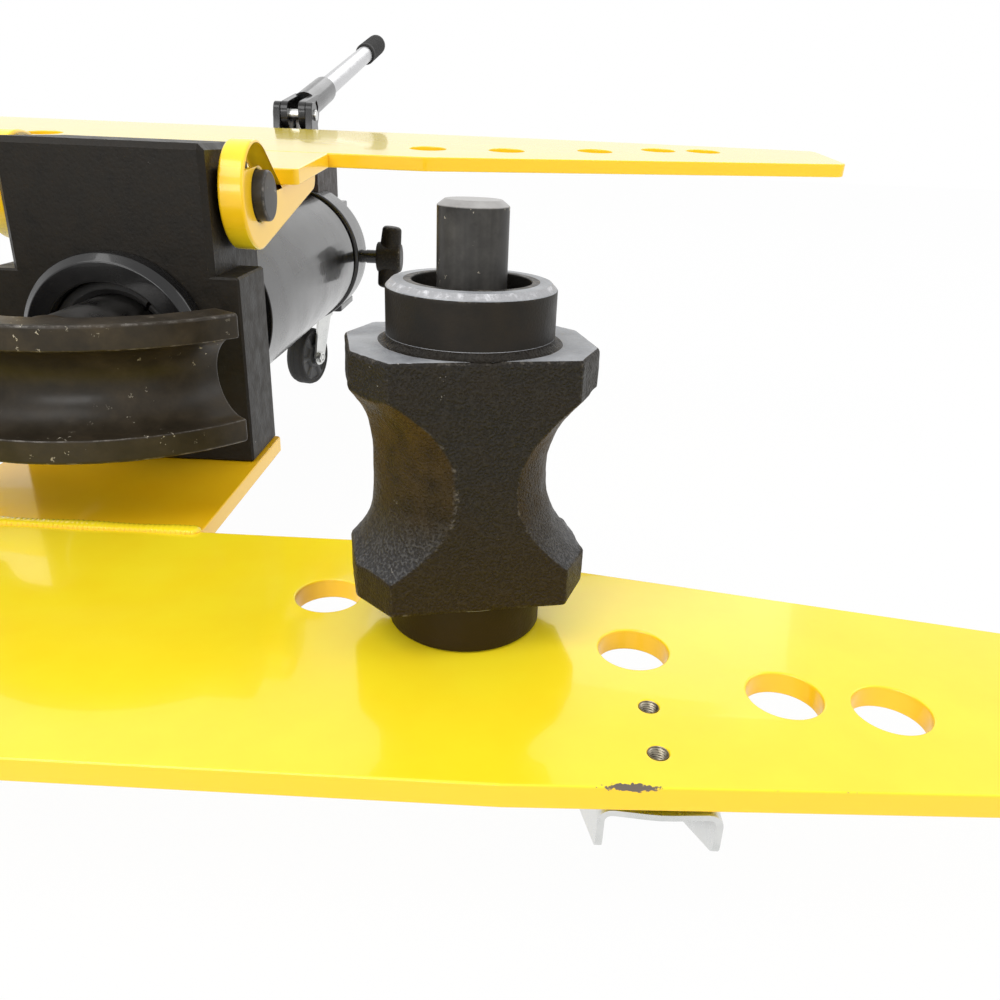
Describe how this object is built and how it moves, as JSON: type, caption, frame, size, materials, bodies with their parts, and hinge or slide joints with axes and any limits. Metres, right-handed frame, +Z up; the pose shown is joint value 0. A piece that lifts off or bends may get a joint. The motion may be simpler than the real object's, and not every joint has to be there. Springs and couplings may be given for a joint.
{
  "type": "pipe bending machine",
  "caption": "Floor-standing hydraulic pipe bender on casters: yellow wing plates, the upper one swung open on a hinge pin, loose grooved rollers, arc die on a horizontal ram, hand pump.",
  "frame": {"origin": "on the floor, under the middle of the whole machine's box", "axes": "+Z up; +X along the wings, to the right seen from the bending side; -Y towards the bending side, +Y towards the pump handle"},
  "size_m": [1.18, 1.4366, 0.4766],
  "materials": {
    "yellow_paint": "glossy enamel, chipped at the edges",
    "black_paint": "glossy black enamel",
    "cast_black": "rough black casting with worn brown edges",
    "dark_steel": "blackened steel, worn bright at the edges",
    "bright_steel": "ground steel",
    "zinc": "bright zinc plating",
    "rubber": "matt black rubber",
    "seal": "hard seal ring"
  },
  "bodies": {
    "frame": {"lower_wing_plate": "yellow_paint", "lower_neck_plate": "yellow_paint", "lower_neck_weld": "yellow_paint", "seat_block": "cast_black", "seat_bolt_left": "zinc", "seat_bolt_right": "zinc", "gland_collar": "black_paint", "rod_wiper": "rubber", "cylinder_tube": "black_paint", "rear_flange": "black_paint", "return_spring": "bright_steel", "wing_rest_saddle": "black_paint", "wing_rest_pad": "rubber", "hinge_pin": "dark_steel", "valve_block": "black_paint", "pump_housing": "black_paint", "lever_bracket": "black_paint", "lever_pivot_pin": "zinc", "rear_base_plate": "black_paint", "rear_caster_top_plate": "zinc", "front_caster_left_bracket": "zinc", "front_caster_left_axle_bolt": "zinc", "front_caster_left_axle_nut": "zinc", "front_caster_left_front_screw": "zinc", "front_caster_left_rear_screw": "zinc", "front_caster_right_bracket": "zinc", "front_caster_right_axle_bolt": "zinc", "front_caster_right_axle_nut": "zinc", "front_caster_right_front_screw": "zinc", "front_caster_right_rear_screw": "zinc"},
    "ram": {"bending_die": "dark_steel", "ram_rod": "bright_steel", "piston": "bright_steel", "piston_seal": "seal"},
    "upper_wing": {"upper_wing_plate": "yellow_paint", "upper_neck_plate": "yellow_paint", "upper_neck_weld": "yellow_paint", "hinge_lug_left": "yellow_paint", "hinge_lug_right": "yellow_paint"},
    "roller_left": {"bending_roller_left": "cast_black"},
    "roller_right": {"bending_roller_right": "cast_black"},
    "loose_pin_left": {"roller_pin_left": "dark_steel"},
    "loose_pin_right": {"roller_pin_right": "dark_steel"},
    "front_wheel_left": {"front_caster_left_wheel": "rubber"},
    "front_wheel_right": {"front_caster_right_wheel": "rubber"},
    "rear_fork": {"rear_caster_fork": "zinc", "rear_caster_axle_bolt": "zinc", "rear_caster_axle_nut": "zinc"},
    "rear_wheel": {"rear_caster_wheel": "rubber"},
    "lever": {"lever_socket": "black_paint", "plunger_link_pin": "zinc"},
    "handle": {"lever_handle": "zinc", "lever_grip": "rubber"},
    "plunger": {"pump_plunger": "bright_steel"},
    "release_valve": {"release_valve_stem": "black_paint", "release_knob": "black_paint"},
    "filler": {"filler_plug": "zinc"}
  },
  "joints": [
    {"name": "ram_slide", "type": "slide", "parent": "frame", "child": "ram", "axis": [0, -1, 0], "range_m": [-0.055, 0.15], "deforming": ["return_spring"]},
    {"name": "upper_wing_hinge", "type": "hinge", "parent": "frame", "child": "upper_wing", "pos_m": [0, -0.34231, 0.277], "axis": [1, 0, 0], "range_deg": [0, 175]},
    {"name": "roller_left_spin", "type": "hinge", "parent": "frame", "child": "roller_left", "pos_m": [-0.261, -0.59031, 0.177], "axis": [0, 0, 1], "continuous": true},
    {"name": "loose_pin_left_lift", "type": "slide", "parent": "frame", "child": "loose_pin_left", "axis": [0, 0, 1], "range_m": [0, 0.21]},
    {"name": "front_wheel_left_roll", "type": "hinge", "parent": "frame", "child": "front_wheel_left", "pos_m": [-0.35, -0.62631, 0.025], "axis": [1, 0, 0], "continuous": true},
    {"name": "roller_right_spin", "type": "hinge", "parent": "frame", "child": "roller_right", "pos_m": [0.261, -0.59031, 0.177], "axis": [0, 0, 1], "continuous": true},
    {"name": "loose_pin_right_lift", "type": "slide", "parent": "frame", "child": "loose_pin_right", "axis": [0, 0, 1], "range_m": [0, 0.21]},
    {"name": "front_wheel_right_roll", "type": "hinge", "parent": "frame", "child": "front_wheel_right", "pos_m": [0.35, -0.62631, 0.025], "axis": [1, 0, 0], "continuous": true},
    {"name": "rear_caster_swivel", "type": "hinge", "parent": "frame", "child": "rear_fork", "pos_m": [0, 0.16369, 0.1007], "axis": [0, 0, 1], "continuous": true},
    {"name": "rear_wheel_roll", "type": "hinge", "parent": "rear_fork", "child": "rear_wheel", "pos_m": [-0.00569, 0.14244, 0.0375], "axis": [-0.9659, 0.2588, 0], "continuous": true},
    {"name": "pump_lever", "type": "hinge", "parent": "frame", "child": "lever", "pos_m": [0, 0.1248, 0.33597], "axis": [1, 0, 0], "range_deg": [0, 40]},
    {"name": "handle_slide", "type": "slide", "parent": "lever", "child": "handle", "axis": [0, 0.9781, 0.2079], "range_m": [0, 0.06]},
    {"name": "plunger_stroke", "type": "slide", "parent": "frame", "child": "plunger", "axis": [0, 0, 1], "range_m": [0, 0.02394]},
    {"name": "release_valve_turn", "type": "hinge", "parent": "frame", "child": "release_valve", "pos_m": [0, 0.09769, 0.178], "axis": [1, 0, 0], "range_deg": [0, 180]},
    {"name": "filler_plug_turn", "type": "hinge", "parent": "frame", "child": "filler", "pos_m": [-0.02, 0.17669, 0.29], "axis": [0, 0, 1], "range_deg": [0, 360]}
  ],
  "couplings": [
    {"joint": "plunger_stroke", "follows": "pump_lever", "m_per_rad": 0.034294}
  ]
}
